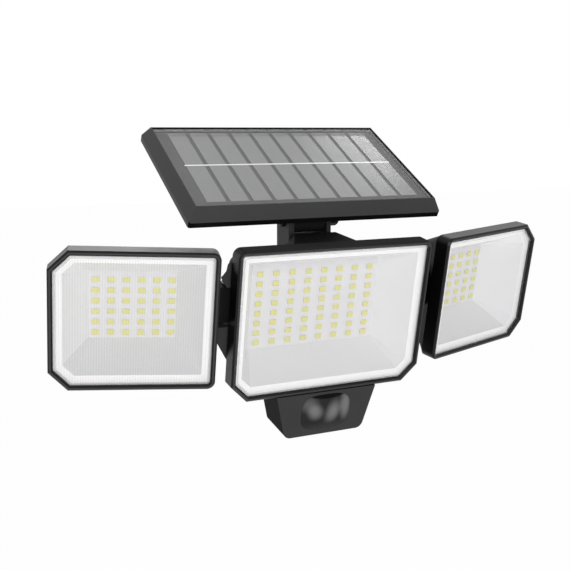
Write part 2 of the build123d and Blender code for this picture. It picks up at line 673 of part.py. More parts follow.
def sensor_window():
    """Smoked dome behind the opening, with a flange inside the housing."""
    face = SENSOR_FACE
    ball = Pos(0, face - 2.6 + EYE_DOME, EYE_Z) * Sphere(EYE_DOME)
    dome = push(window(-0.35), face - 4, 4 + SENSOR_WALL + 0.6) & ball
    flange = push(window(2.0), face + SENSOR_WALL + 0.1, 1.2)
    return dome + flange


def sensor_board_low():
    """Lower edge of the sensor's circuit board."""
    return SENSOR_LOW_Z + SENSOR_WALL + 1.9


def sensor_board():
    half = SENSOR_BOARD_W / 2
    low = sensor_board_low()
    outline = corner_box(-half, half, low, low + SENSOR_BOARD_H, (2, 2, 2, 2))
    board = push(outline, SENSOR_BOARD_DEPTH, SENSOR_BOARD_T)
    for x in (4 - half, half - 4):
        z = low + SENSOR_BOARD_H - 3
        board = board - rod(SCREW_R, (x, SENSOR_BOARD_DEPTH - 1, z), (x, SENSOR_BOARD_DEPTH + SENSOR_BOARD_T + 1, z))
    return board


def sensor_element():
    """Metal can of the heat sensor, on the board."""
    front = SENSOR_BOARD_DEPTH - 3.6
    can = rod(4.6, (0, front, EYE_Z), (0, SENSOR_BOARD_DEPTH, EYE_Z))
    return can - slab(-1.6, 1.6, front - 0.1, front + 0.4, EYE_Z - 1.2, EYE_Z + 1.2)


def mode_switch():
    """Tact switch that the button presses, on a bracket behind the board."""
    y = BUTTON_DEPTH
    z = SENSOR_LOW_Z + SENSOR_WALL + 4.2
    base = slab(-6, 6, SENSOR_BOARD_DEPTH + SENSOR_BOARD_T, y + 5, z + 2.4, z + 4.0)
    return base + slab(-3, 3, y - 3, y + 3, z, z + 2.4)


def mode_button():
    y = BUTTON_DEPTH
    low = SENSOR_LOW_Z - BUTTON_PROUD
    top = SENSOR_LOW_Z + SENSOR_WALL
    cap = rod(BUTTON_R, (0, y, low), (0, y, top))
    cap = fillet(cap.edges().group_by(Axis.Z)[0], 0.8)
    collar = rod(BUTTON_R + 1.2, (0, y, top + 0.3), (0, y, top + 1.3))
    return cap + rod(BUTTON_R, (0, y, top), (0, y, top + 0.3)) + collar + rod(1.6, (0, y, top + 1.3), (0, y, top + 2.7))


# --- bracket and post -------------------------------------------------------------------------
def wall_bracket():
    plate = extrude(Plane.XZ * RectangleRounded(PLATE_W, PLATE_H, PLATE_R), amount=PLATE_T)
    plate = chamfer(plate.edges().group_by(Axis.Y)[0], 1.0)
    half = POST_W / 2
    y = -POST_REACH
    side_view = make_face(Polyline(
        (-PLATE_T + 0.5, ARM_LOW - 9), (-PLATE_T + 0.5, ARM_TOP - 1), (y + 9, ARM_TOP + 1.0), (y + 9, POST_FOOT_Z),
        (y - 9, POST_FOOT_Z), (y - 9, LAMP_AXIS_Z + 3), (y - 4, LAMP_AXIS_Z - 5), (y + 8, ARM_LOW), (-12, ARM_LOW), close=True
    ))
    arm = Plane.YZ.offset(-half) * side_view
    arm = extrude(arm, amount=POST_W)
    arm = arm + rod(HUB_R, (-half, y, LAMP_AXIS_Z), (half, y, LAMP_AXIS_Z))
    inside = slab(-half + ARM_WALL, half - ARM_WALL, y + HUB_R + 2.5, -PLATE_T - 3, 0, ARM_TOP - ARM_WALL - 0.6)
    arm = arm - inside
    length = POST_REACH - HUB_R - PLATE_T
    for share in (0.36, 0.68):
        rib_y = -PLATE_T - length * share
        arm = arm + slab(-half + 1, half - 1, rib_y - RIB_T / 2, rib_y + RIB_T / 2, ARM_LOW + 0.5, ARM_TOP - 2)
    body = plate + arm
    for x in (-1, 1):
        for z in (-1, 1):
            spot = (x * WALL_HOLE_X / 2, 0, z * WALL_HOLE_Z / 2)
            body = body - rod(WALL_HOLE_R, (spot[0], 1, spot[2]), (spot[0], -PLATE_T - 1, spot[2]))
    body = body + slab(-half + POST_WALL + FIT, half - POST_WALL - FIT, y - POST_D / 2 + POST_WALL + FIT,
                       y + POST_D / 2 - POST_WALL - FIT, POST_FOOT_Z - 1, POST_FOOT_Z + SPIGOT_H)
    body = body - rod(BOLT_R + RUN, (-half - 1, y, LAMP_AXIS_Z), (half + 1, y, LAMP_AXIS_Z))
    for x in (-1, 1):
        spot = POST_FOOT_Z + SPIGOT_H / 2
        body = body - rod(SCREW_R + RUN, (x * 7, y - 2, spot), (x * 7, y + POST_D, spot))
    return body


def panel_post():
    y = -POST_REACH
    half = POST_W / 2
    deep = POST_D / 2
    stem = slab(-half, half, y - deep, y + deep, POST_FOOT_Z, PANEL_AXIS_Z)
    stem = fillet(stem.edges().filter_by(Axis.Z), 1.0)
    post = stem + rod(CHEEK_R, (-half, y, PANEL_AXIS_Z), (half, y, PANEL_AXIS_Z))
    slot = half - CHEEK_T
    low = PANEL_AXIS_Z - KNUCKLE_R - 0.6
    post = post - slab(-slot, slot, y - deep - 1, y + deep + 1, low, PANEL_AXIS_Z + 20)
    hollow = slab(-half + POST_WALL, half - POST_WALL, y - deep + POST_WALL, y + deep - POST_WALL, POST_FOOT_Z - 1, low - 2.5)
    post = post - hollow
    post = post - rod(BOLT_R + RUN, (-POST_W, y, PANEL_AXIS_Z), (POST_W, y, PANEL_AXIS_Z))
    spot = POST_FOOT_Z + SPIGOT_H / 2
    for x in (-1, 1):
        post = post - rod(SCREW_R + FIT, (x * 7, y, spot), (x * 7, y + deep + 1, spot))
    return post


def post_screws():
    y = -POST_REACH + POST_D / 2
    spot = POST_FOOT_Z + SPIGOT_H / 2
    return group([screw(x * 7, spot, y - 9, y) for x in (-1, 1)])


def bolt(half_span, y, z, tail):
    """Round-headed hinge bolt along X: its head on the left, its tail standing out on the right."""
    shank = rod(BOLT_R, (-half_span, y, z), (half_span + tail, y, z))
    head = rod(BOLT_HEAD_R, (-half_span - BOLT_HEAD_T, y, z), (-half_span, y, z))
    head = chamfer(head.edges().group_by(Axis.X)[0], BOLT_HEAD_T * 0.4)
    face = -half_span - BOLT_HEAD_T
    arm = BOLT_HEAD_R * 0.6
    slot = slab(face - 1, face + 1.1, y - arm, y + arm, z - 0.5, z + 0.5)
    cross = slab(face - 1, face + 1.1, y - 0.5, y + 0.5, z - arm, z + arm)
    return shank + head - slot - cross


def nut(half_span, y, z):
    """Hexagon nut on the right-hand end of a hinge bolt."""
    hexagon = Plane.YZ.offset(half_span) * Pos(y, z) * RegularPolygon(BOLT_HEAD_R, 6)
    body = extrude(hexagon, amount=BOLT_HEAD_T)
    return body - rod(BOLT_R + RUN, (half_span - 1, y, z), (half_span + BOLT_HEAD_T + 1, y, z))


def hand_nut(half_span, y, z):
    """Fluted nut, turned by hand, on the right-hand end of the panel's hinge bolt."""
    body = rod(KNOB_R, (half_span, y, z), (half_span + KNOB_L, y, z))
    body = chamfer(body.edges().group_by(Axis.X)[-1], 0.8)
    for n in range(KNOB_FLUTE_COUNT):
        angle = radians(360 * (n + 0.5) / KNOB_FLUTE_COUNT)
        flute_y = y + (KNOB_R + 0.5) * cos(angle)
        flute_z = z + (KNOB_R + 0.5) * sin(angle)
        body = body - rod(1.2, (half_span + 1.5, flute_y, flute_z), (half_span + KNOB_L + 1, flute_y, flute_z))
    return body - rod(BOLT_R + RUN, (half_span - 1, y, z), (half_span + KNOB_L - 1.5, y, z))


def lamp_bolt_span():
    return POST_W / 2 + DISC_T + SIDE_PLAY / 2 + LUG_T


def friction_discs():
    """One disc at each side of the hub."""
    discs = []
    for side in (-1, 1):
        x0 = side * (POST_W / 2 + SIDE_PLAY / 4)
        x1 = x0 + side * DISC_T
        disc = rod(DISC_R, (x0, LENS_AHEAD, LENS_BELOW), (x1, LENS_AHEAD, LENS_BELOW))
        discs.append(disc - rod(BOLT_R + RUN, (x0 - side, LENS_AHEAD, LENS_BELOW), (x1 + side, LENS_AHEAD, LENS_BELOW)))
    return group(discs)


# --- side pins --------------------------------------------------------------------------------
def side_pin():
    """Upright hinge screw of the right-hand ear pair, in the lamp's frame."""
    x, y = SIDE_PIN_X, SIDE_PIN_DEPTH
    seat = EAR_TOP_Z + PIN_SEAT
    shank = rod(SIDE_PIN_R, (x, y, EAR_LOW_Z - PIN_DEEP), (x, y, seat))
    head = rod(PIN_HEAD_R, (x, y, seat), (x, y, seat + PIN_HEAD_T))
    head = chamfer(head.edges().group_by(Axis.Z)[-1], PIN_HEAD_T * 0.4)
    return shank + head


def side_washers():
    x, y = SIDE_PIN_X, SIDE_PIN_DEPTH
    washers = []
    for z in (EAR_LOW_Z + 0.05, EAR_TOP_Z - WASHER_T - 0.05):
        ring = rod(BARREL_R - 0.4, (x, y, z), (x, y, z + WASHER_T))
        washers.append(ring - rod(SIDE_PIN_R + RUN, (x, y, z - 1), (x, y, z + 2)))
    return group(washers)


# --- solar panel ------------------------------------------------------------------------------
def panel_rect(grow, z):
    return Pos(0, 0, z) * Rectangle(GLASS[0] + 2 * grow, GLASS[1] + 2 * grow)


def panel_block(grow, z0, z1):
    return extrude(panel_rect(grow, z0), amount=z1 - z0)


def panel_screw_spots():
    x = GLASS[0] / 2 - PANEL_SCREW_INSET
    y = GLASS[1] / 2 - PANEL_SCREW_INSET
    return [(-x, -y), (-x, y), (x, -y), (x, y)]


def panel_frame():
    low = -PANEL_SLOPE_H - PANEL_LIP_H
    bezel = loft([panel_rect(PANEL_LAND, 0), panel_rect(PANEL_SLOPE_W, -PANEL_SLOPE_H)], ruled=True)
    bezel = bezel + panel_block(PANEL_SLOPE_W, low, -PANEL_SLOPE_H)
    bezel = fillet(bezel.edges().filter_by(Axis.Z), 1.5)
    seat = -GLASS_DROP - GLASS[2] - CELL_T - BACKSHEET_T
    bezel = bezel - panel_block(FIT / 2, seat, 1)
    bezel = bezel - panel_block(-3.0, low, seat)
    bezel = bezel - panel_block(PANEL_SLOPE_W - 1.6, low, low + PAN_T + 0.6)
    for spot in panel_screw_spots():
        boss = slab(spot[0] - 3.2, spot[0] + 3.2, spot[1] - 3.2, spot[1] + 3.2, low + PAN_T + 0.6, seat)
        bezel = bezel + boss - rod(SCREW_R + RUN, (*spot, low), (*spot, seat - 1.0))
    return bezel


def panel_glass():
    glass = panel_block(0, -GLASS_DROP - GLASS[2], -GLASS_DROP)
    return chamfer(glass.edges().group_by(Axis.Z)[-1], 0.3)


def cell_middles():
    """Middle of each cell, from left to right."""
    pitch = (CELL_FIELD[0] + CELL_GAP) / CELL_COUNT
    return [CELL_SHIFT[0] + (n - (CELL_COUNT - 1) / 2) * pitch for n in range(CELL_COUNT)]


def cell_width():
    return (CELL_FIELD[0] + CELL_GAP) / CELL_COUNT - CELL_GAP


def cells():
    """The cells, side by side, each with a shallow groove for its busbar."""
    top = -GLASS_DROP - GLASS[2]
    half = BUSBAR_W / 2
    groove = slab(-GLASS[0] / 2, GLASS[0] / 2, BUSBAR_SHIFT - half, BUSBAR_SHIFT + half, top - BUSBAR_T, top)
    strips = [Pos(x, CELL_SHIFT[1], top - CELL_T / 2) * Box(cell_width(), CELL_FIELD[1], CELL_T) for x in cell_middles()]
    return group([strip - groove for strip in strips])


def busbars():
    """Tinned ribbon that joins the cells across their middle."""
    top = -GLASS_DROP - GLASS[2]
    length = CELL_FIELD[0] + 2 * BUSBAR_OUT
    return Pos(CELL_SHIFT[0], BUSBAR_SHIFT, top - BUSBAR_T / 2) * Box(length, BUSBAR_W, BUSBAR_T)


def backsheet():
    top = -GLASS_DROP - GLASS[2] - CELL_T
    return panel_block(0, top - BACKSHEET_T, top)


def panel_seal():
    low = -PANEL_SLOPE_H - PANEL_LIP_H + PAN_T
    ring = panel_block(PANEL_SLOPE_W - 1.6 - FIT, low, low + 0.6)
    return ring - panel_block(PANEL_SLOPE_W - 1.6 - FIT - PAN_SEAL_W, low, low + 0.6)


def panel_back():
    """Back cover with the hinge knuckle and ribs that run out from it."""
    low = -PANEL_SLOPE_H - PANEL_LIP_H
    pan = panel_block(PANEL_SLOPE_W - 1.6 - FIT, low, low + PAN_T)
    pan = fillet(pan.edges().filter_by(Axis.Z), 1.2)
    y = -PANEL_AHEAD
    z = -PANEL_ABOVE
    half = KNUCKLE_W / 2
    knuckle = rod(KNUCKLE_R, (-half, y, z), (half, y, z))
    neck = slab(-half, half, y - KNUCKLE_R, y + KNUCKLE_R, z, low + 0.5)
    pan = pan + knuckle + neck
    pan = pan - rod(BOLT_R + RUN, (-half - 1, y, z), (half + 1, y, z))
    for spot in panel_screw_spots():
        pan = pan - rod(SCREW_R + FIT, (*spot, low - 1), (*spot, low + PAN_T + 1))
    return pan


def panel_screws():
    low = -PANEL_SLOPE_H - PANEL_LIP_H
    screws = []
    for spot in panel_screw_spots():
        shank = rod(SCREW_R, (*spot, low), (*spot, low + PAN_T + 4))
        head = rod(SCREW_HEAD_R, (*spot, low - 1.2), (*spot, low))
        screws.append(shank + chamfer(head.edges().group_by(Axis.Z)[0], 0.5))
    return group(screws)


# --- all nodes --------------------------------------------------------------------------------
def head_pieces(head, shell, prefix):
    return {
        prefix + "_front_frame": front_frame(head),
        prefix + "_lens_cover": lens_cover(head),
        prefix + "_reflector": reflector(head),
        prefix + "_led_board": led_board(head),
        prefix + "_leds": led_chips(head),
        prefix + "_seal": seal(head),
        prefix + "_back_shell": shell,
        prefix + "_screws": head_screws(head),
    }


def build():
    nodes = {
        "wall_bracket": wall_bracket(),
        "panel_post": panel_post(),
        "post_screws": post_screws(),
        "panel_hinge_bolt": bolt(POST_W / 2, -POST_REACH, PANEL_AXIS_Z, KNOB_L - 2),
        "panel_hinge_nut": hand_nut(POST_W / 2, -POST_REACH, PANEL_AXIS_Z),
    }
    panel = {
        "panel_frame": panel_frame(),
        "panel_glass": panel_glass(),
        "solar_cells": cells(),
        "cell_busbars": busbars(),
        "cell_backsheet": backsheet(),
        "panel_seal": panel_seal(),
        "panel_back_cover": panel_back(),
        "panel_screws": panel_screws(),
    }
    lamp = head_pieces(CENTRE, centre_shell(), "centre")
    lamp |= {
        "lamp_hinge_bolt": bolt(lamp_bolt_span(), LENS_AHEAD, LENS_BELOW, BOLT_HEAD_T + 0.6),
        "lamp_hinge_nut": nut(lamp_bolt_span(), LENS_AHEAD, LENS_BELOW),
        "lamp_friction_discs": friction_discs(),
        "battery_cell": battery(),
        "battery_contacts": battery_contacts(),
        "battery_cover": battery_cover(),
        "battery_cover_screws": cover_screws(),
        "sensor_housing": sensor_housing(),
        "sensor_window": sensor_window(),
        "sensor_element": sensor_element(),
        "sensor_board": sensor_board(),
        "mode_switch": mode_switch(),
        "mode_button": mode_button(),
    }
    nodes |= {name: PANEL * solid for name, solid in panel.items()}
    nodes |= {name: LAMP * solid for name, solid in lamp.items()}
    right = {name: SIDE * solid for name, solid in head_pieces(SIDE_HEAD, side_shell(), "right").items()}
    right |= {"right_hinge_pin": LAMP * side_pin(), "right_hinge_washers": LAMP * side_washers()}
    for name, solid in right.items():
        nodes[name] = solid
        nodes[name.replace("right", "left")] = mirror(solid, Plane.YZ)
    return nodes


for node, solid in build().items():
    export_step(solid, f"parts/{node}.step")
    print(node, "solids", len(solid.solids()), "volume", round(solid.volume, 1))
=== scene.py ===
# %% [markdown]
# # A solar security light, dressed for the camera
# The light comes as a frame of solids whose shapes, sizes and joints are settled.  This lesson
# adds what solids lack: the grain of moulded plastic, the fluted clear covers, the yellow windows
# of the light chips, the silicon of the solar cells, soft studio light and a camera.  Every solid
# could be modelled again here, but a copy would drift from its joint.  So the solids stay as they
# are and get a finish, and only what they don't show is made anew.

# %% Load the frame
from math import cos, radians, sin, sqrt

import bmesh
import bpy
from mathutils import Euler, Matrix, Vector


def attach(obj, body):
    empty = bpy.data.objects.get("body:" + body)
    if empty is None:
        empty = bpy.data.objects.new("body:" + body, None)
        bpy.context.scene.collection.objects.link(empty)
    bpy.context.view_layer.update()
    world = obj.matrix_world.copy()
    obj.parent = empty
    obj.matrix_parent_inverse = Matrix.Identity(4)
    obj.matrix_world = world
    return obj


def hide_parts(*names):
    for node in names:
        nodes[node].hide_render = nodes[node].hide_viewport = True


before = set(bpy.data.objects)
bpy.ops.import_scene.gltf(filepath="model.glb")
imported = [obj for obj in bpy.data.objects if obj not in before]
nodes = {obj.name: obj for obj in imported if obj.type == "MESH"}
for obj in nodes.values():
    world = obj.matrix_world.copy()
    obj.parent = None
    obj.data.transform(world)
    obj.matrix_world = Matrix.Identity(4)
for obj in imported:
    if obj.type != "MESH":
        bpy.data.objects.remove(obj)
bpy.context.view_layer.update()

# %% [markdown]
# ## Where each head and the panel stand
# The lamp leans forward on its tilt hinge and each side head is turned outwards, so a pattern
# drawn upright in the world would run crooked over them.  Empties could carry the patterns, but
# they are lost when the model is exported.  A matrix for each part does the same: it takes the
# part's drawing plane (x across, y into the part, z up) to its place on the light.

# %% Part matrices
MM = 0.001
LAMP_HINGE = (0, -73, 27)               # axes of the two tilt hinges
PANEL_HINGE = (0, -73, 65)
LAMP_LEAN, PANEL_LEAN = 10.15, 28.8     # degrees forward, at rest
HEAD_TURN = 14.67                       # degrees outwards, at rest
LAMP_FACE = (0, -41.56, -10.85)         # middle of the centre rim, seen from the lamp's hinge
PANEL_FACE = (0, 28.7, 21.8)            # middle of the panel, seen from its own hinge
HEAD_PIN = (57.6, 19, 5.88)             # right head's pin, seen from the centre rim
HEAD_FACE = (54.3, -23.04, 0)           # middle of the right rim, seen from its pin


def shift(x, y, z):
    """A move in mm."""
    return Matrix.Translation((x * MM, y * MM, z * MM))


def turn(degrees, axis):
    return Matrix.Rotation(radians(degrees), 4, axis)


def side_head(side):
    """A side head's matrix, with side 1 for the right head and -1 for the left one."""
    pin = shift(side * HEAD_PIN[0], *HEAD_PIN[1:])
    face = shift(side * HEAD_FACE[0], *HEAD_FACE[1:])
    return LAMP @ pin @ turn(side * HEAD_TURN, "Z") @ face


LAMP = shift(*LAMP_HINGE) @ turn(LAMP_LEAN, "X") @ shift(*LAMP_FACE)
PANEL = shift(*PANEL_HINGE) @ turn(PANEL_LEAN, "X") @ shift(*PANEL_FACE)
HEADS = {"centre": LAMP, "left": side_head(-1), "right": side_head(1)}
for head, matrix in HEADS.items():
    print(head, "rim's middle, mm:", [round(v / MM, 1) for v in matrix.to_translation()])

# %% [markdown]
# ## Writing node trees as sums
# A finish, a pattern of repeats and the sky are all trees of nodes, and joining nodes one by one
# is slow to write and to read.  Here a wire wraps one output socket, and its operators add Math
# nodes: `1 - mask * 0.5` is two of them.  Every other node comes from one method, which sets the
# node's own settings first and then feeds its sockets.


# %% Wires
class Wire:
    """One output socket in a net of nodes, with arithmetic."""

    def __init__(self, net, socket):
        self.net = net
        self.socket = socket

    def out(self, name):
        """Another output of the same node."""
        return Wire(self.net, self.socket.node.outputs[name])

    def __add__(self, other):
        return self.net.math("ADD", self, other)

    def __sub__(self, other):
        return self.net.math("SUBTRACT", self, other)

    def __rsub__(self, other):
        return self.net.math("SUBTRACT", other, self)

    def __mul__(self, other):
        return self.net.math("MULTIPLY", self, other)

    def __truediv__(self, other):
        return self.net.math("DIVIDE", self, other)

    def __lt__(self, other):
        return self.net.math("LESS_THAN", self, other)

    def __gt__(self, other):
        return self.net.math("GREATER_THAN", self, other)

    def __abs__(self):
        return self.net.math("ABSOLUTE", self)

    __radd__ = __add__
    __rmul__ = __mul__


# %% Nets
class Net:
    """A tree of nodes, whose sockets take numbers, colours, vectors, objects or wires."""

    def __init__(self, tree):
        self.tree = tree

    def node(self, kind, settings=None, sockets=None):
        """Adds a node and gives a wire from its first live output."""
        made = self.tree.nodes.new(kind)
        for name, value in (settings or {}).items():
            setattr(made, name, value)
        for name, value in (sockets or {}).items():
            self.feed(made.inputs[name], value)
        return Wire(self, next(s for s in made.outputs if s.enabled))

    def feed(self, socket, value):
        if isinstance(value, Wire):
            self.tree.links.new(value.socket, socket)
        elif socket.type == "RGBA":
            socket.default_value = (*value, 1.0)
        else:
            socket.default_value = value

    def math(self, operation, first, second=0.0, clamp=False):
        settings = {"operation": operation, "use_clamp": clamp}
        return self.node("ShaderNodeMath", settings, {0: first, 1: second})


# %% [markdown]
# ## Finishes that know where they are
# The side walls of a rim get painted shade, darker than its front, and the cells carry lines that
# run along the panel.  Masks painted on an image could say where, but they would need a flat layout
# of every solid.  A finish can work it out instead: from Object coordinates, seen through a part's
# matrix, and from the way that each face looks.

# %% Finish class
MIX_FIRST, MIX_SECOND, MIX_RESULT = 6, 7, 2     # a Mix node's colour sockets go by number
AHEAD, UP, DOWN, RIGHTWARDS = (0, -1, 0), (0, 0, 1), (0, 0, -1), (1, 0, 0)


class Finish(Net):
    """One material, with a Principled shader."""

    def __init__(self, name):
        self.material = bpy.data.materials.new(name)
        self.material.use_nodes = True
        super().__init__(self.material.node_tree)
        self.shader = next(n for n in self.tree.nodes if n.type == "BSDF_PRINCIPLED")

    def set(self, **values):
        """Feeds sockets of the shader.  An underscore stands for a space in a socket's name."""
        for name, value in values.items():
            self.feed(self.shader.inputs[name.replace("_", " ")], value)

    def place(self, matrix=None):
        """Object coordinates in metres, seen from a part's own matrix."""
        point = self.node("ShaderNodeTexCoord").out("Object")
        if matrix is None:
            return point
        back = matrix.inverted()
        sockets = {"Vector": point, "Location": back.to_translation(), "Rotation": back.to_euler()}
        return self.node("ShaderNodeMapping", {"vector_type": "POINT"}, sockets)

    def split(self, vector):
        """X, Y and Z of a vector, each on a wire."""
        parts = self.node("ShaderNodeSeparateXYZ", None, {0: vector})
        return parts.out("X"), parts.out("Y"), parts.out("Z")

    def facing(self, matrix, direction):
        """How squarely a face looks along a direction of a part: 1 when it faces it, -1 away."""
        normal = self.node("ShaderNodeTexCoord").out("Normal")
        way = matrix.to_3x3() @ Vector(direction)
        product = self.node("ShaderNodeVectorMath", {"operation": "DOT_PRODUCT"}, {0: normal, 1: way})
        return product.out("Value")

    def noise(self, scale, detail=2.0, matrix=None):
        """Soft clouds from 0 to 1, about as many to the metre as the scale says."""
        sockets = {"Vector": self.place(matrix), "Scale": scale, "Detail": detail}
        return self.node("ShaderNodeTexNoise", None, sockets)

    def blend(self, first, second, factor):
        """A colour between two others."""
        settings = {"data_type": "RGBA", "clamp_factor": True}
        mix = self.node("ShaderNodeMix", settings, {0: factor, MIX_FIRST: first, MIX_SECOND: second})
        return mix.out(MIX_RESULT)

    def bump(self, height, strength, depth):
        """Turns a height into a tilt of the surface, with the depth in mm."""
        sockets = {"Height": height, "Strength": strength, "Distance": depth * MM}
        return self.node("ShaderNodeBump", None, sockets)


def grey(level, blue=0.0):
    """A grey that leans towards blue by so much."""
    return (level, level, level + blue)


def dress(finish, *names):
    """Gives solids a finish."""
    for name in names:
        nodes[name].data.materials.clear()
        nodes[name].data.materials.append(finish.material)
    print(finish.material.name, "on", ", ".join(names))


# %% [markdown]
# ## Black moulded plastic
# The housings are black ABS.  Their mould has a fine spark-eroded grain, which blurs reflections
# and lifts the black a little where light grazes it.  Real bumps this fine would take millions of
# faces, so a fine noise feeds a Bump node, and a broad one changes colour and roughness from place
# to place, so that large faces aren't dead flat.  Bevels, sides and faces that lie in shade get
# painted shade beside the grained faces: a finish may get masks that blend them to near black.

# %% Moulded plastic
SHADE_BLACK = grey(0.0022, 0.0002)       # painted shade: the near black that a mask blends in where shade falls
DULL = 0.9                        # roughness where a mask dulls it
CLOUD_SCALE = 60.0
CLOUD_LIGHT = 1.25                # the lightest clouds against the plain colour
CLOUD_ROUGHNESS = 0.12            # from the smoothest to the roughest cloud
GRAIN_STRENGTH = 0.35


def moulded(name, colour, roughness, grain=1400.0, depth=0.04, painted_shade=None, matt=None, gloss=0.22):
    """Grained plastic.  The grain's depth is in mm, and two masks paint shade; the second dulls it too."""
    finish = Finish(name)
    clouds = finish.noise(CLOUD_SCALE, detail=3.0)
    skin = finish.blend(colour, tuple(v * CLOUD_LIGHT for v in colour), clouds)
    rough = clouds * CLOUD_ROUGHNESS + (roughness - CLOUD_ROUGHNESS / 2)
    # painted shade: where a mask says, the colour is blended towards a near black
    if painted_shade:
        skin = finish.blend(skin, SHADE_BLACK, painted_shade(finish))
    if matt:
        mask = matt(finish)
        skin = finish.blend(skin, SHADE_BLACK, mask)
        rough = rough + mask * (DULL - roughness)
    finish.set(Base_Color=skin, Roughness=rough, Specular_IOR_Level=gloss)
    finish.set(Normal=finish.bump(finish.noise(grain), GRAIN_STRENGTH, depth))
    return finish


# %% Masks
STRAIGHT = 0.95             # a face that looks straight along a direction faces it by more
MOSTLY = 0.9                # and one that mostly does, by more than this
UPRIGHT = 0.2               # an upright face faces straight up by less
ANY_WAY = -2.0              # no face looks away by so much
FLANK_SHADE = 0.7
SHELL_SHADE, SHELL_MIDDLE = 0.9, 54     # share of painted shade, and half the width that it covers in mm


def rim_edges(matrix, lowest=ANY_WAY):
    """Where a rim gets painted shade: bevels and side walls, all but its front, its top and what looks down
    past lowest.
    """
    def mask(finish):
        rise = finish.facing(matrix, UP)
        return (finish.facing(matrix, AHEAD) < STRAIGHT) * (rise < MOSTLY) * (rise > lowest)
    return mask


def rim_top(finish):
    """Top of the centre rim, in the shade of the panel."""
    return finish.facing(LAMP, UP) > MOSTLY


def panel_edge(finish):
    """Lip and inner wall of the panel's frame, which stand upright on it and get painted shade."""
    return abs(finish.facing(PANEL, UP)) < UPRIGHT


def sensor_flank(finish):
    """Painted shade on every face of the sensor housing but its front."""
    return (finish.facing(LAMP, AHEAD) < MOSTLY) * FLANK_SHADE


def shell_middle(finish):
    """Middle of the centre shell, in the shade of the panel and the bracket, without its ears."""
    across, _, _ = finish.split(finish.place(LAMP))
    return (abs(across) < SHELL_MIDDLE * MM) * SHELL_SHADE


def level_face(finish):
    """Level faces of the bracket and the post, under the panel, with painted shade and a duller surface."""
    return finish.facing(Matrix.Identity(4), UP) > STRAIGHT


# %% Rims
# painted shade on the rims' bevels and side walls, and on the centre rim's top
rim_masks = {head: {"painted_shade": rim_edges(matrix)} for head, matrix in HEADS.items()}
rim_masks["centre"] = {"painted_shade": rim_edges(LAMP, lowest=-0.2), "matt": rim_top}
for head, masks in rim_masks.items():
    rim = moulded("rim_black_" + head, grey(0.032, 0.001), 0.36, grain=1800.0, depth=0.02, **masks)
    dress(rim, head + "_front_frame")

# %% Housings, bracket and panel
# painted shade: the side shells and battery cover get a darker copy of the black, for the shade the shells
# sit in
housing_black = moulded("housing_black", grey(0.008, 0.001), 0.6, gloss=0.1)
dress(housing_black, "left_back_shell", "right_back_shell", "battery_cover")

centre_black = moulded("centre_black", grey(0.036, 0.001), 0.6, painted_shade=shell_middle, gloss=0.1)
dress(centre_black, "centre_back_shell")

sensor_black = moulded("sensor_black", grey(0.035, 0.001), 0.5, matt=sensor_flank, gloss=0.08)
dress(sensor_black, "sensor_housing")

bracket_black = moulded("bracket_black", grey(0.016, 0.001), 0.5, matt=level_face)
dress(bracket_black, "wall_bracket", "panel_post")

dress(moulded("panel_black", grey(0.028, 0.001), 0.42, painted_shade=panel_edge), "panel_frame")
dress(moulded("pan_black", grey(0.012, 0.001), 0.5), "panel_back_cover")

# %% [markdown]
# ## White reflector trays
# Each tray is one white moulding: a flat flange behind the cover's edge, and four walls that
# slope down to the circuit board.  In the photograph every wall has a brightness of its own, which
# would take many lamps to copy, so the light and shade of each wall and of the flange are painted
# into the white by the way that it faces.  The plastic is glossy enough to show a soft sheen.

# %% Reflector
TRAYS = {"centre": (0.83, 0.755), "left": (0.82, 0.705), "right": (0.77, 0.745)}   # painted brightness of the right and the bottom wall
# painted light and shade: brightness of the left wall, the top wall and the flange
LEFT_WALL, TOP_WALL, FLANGE = 0.85, 0.96, 0.95
TINGE = 0.015               # blue in the white, and half the swing of its clouds
WALL_FACING, FLANGE_FACING = 0.3, 0.97

for head, matrix in HEADS.items():
    white = Finish("reflector_white_" + head)
    right_wall, bottom_wall = TRAYS[head]
    clouds = white.noise(scale=90.0)
    skin = white.blend(grey(right_wall - TINGE, TINGE), grey(right_wall + TINGE, TINGE), clouds)
    # painted light and shade: each wall and the flange gets the brightness listed for the way it faces
    for direction, level in ((RIGHTWARDS, LEFT_WALL), (UP, bottom_wall), (DOWN, TOP_WALL)):
        skin = white.blend(skin, grey(level, TINGE), white.facing(matrix, direction) > WALL_FACING)
    skin = white.blend(skin, grey(FLANGE), white.facing(matrix, AHEAD) > FLANGE_FACING)
    white.set(Base_Color=skin, Roughness=0.24)
    dress(white, head + "_reflector")

# %% [markdown]
# ## Circuit boards
# The lit boards carry their chips on a white solder mask, which looks faintly violet next to the
# yellow chips.  The sensor's board and the mode switch, inside the sensor housing, are green.  One
# pattern each is enough, as no track can be read from a step away.

# %% Boards
board_white = Finish("board_white")
specks = board_white.noise(scale=400.0)
board_white.set(Base_Color=board_white.blend((0.68, 0.67, 0.69), (0.73, 0.72, 0.73), specks), Roughness=0.5)
dress(board_white, *(head + "_led_board" for head in HEADS))

board_green = Finish("board_green")
tracks = board_green.node("ShaderNodeTexVoronoi", None, {"Vector": board_green.place(), "Scale": 350.0})
board_green.set(Base_Color=board_green.blend((0.01, 0.10, 0.04), (0.03, 0.22, 0.09), tracks), Roughness=0.35)
dress(board_green, "sensor_board", "mode_switch")

# %% [markdown]
# ## Skins through rings of points
# A chip's window, a cover, the panel's glass and the sensor's window are all low mouldings with
# one outline that shrinks as it rises.  Each could be a cube with bevels, but rings of points
# give the exact slopes: neighbouring rings are joined by quads, and the ends that show are closed.


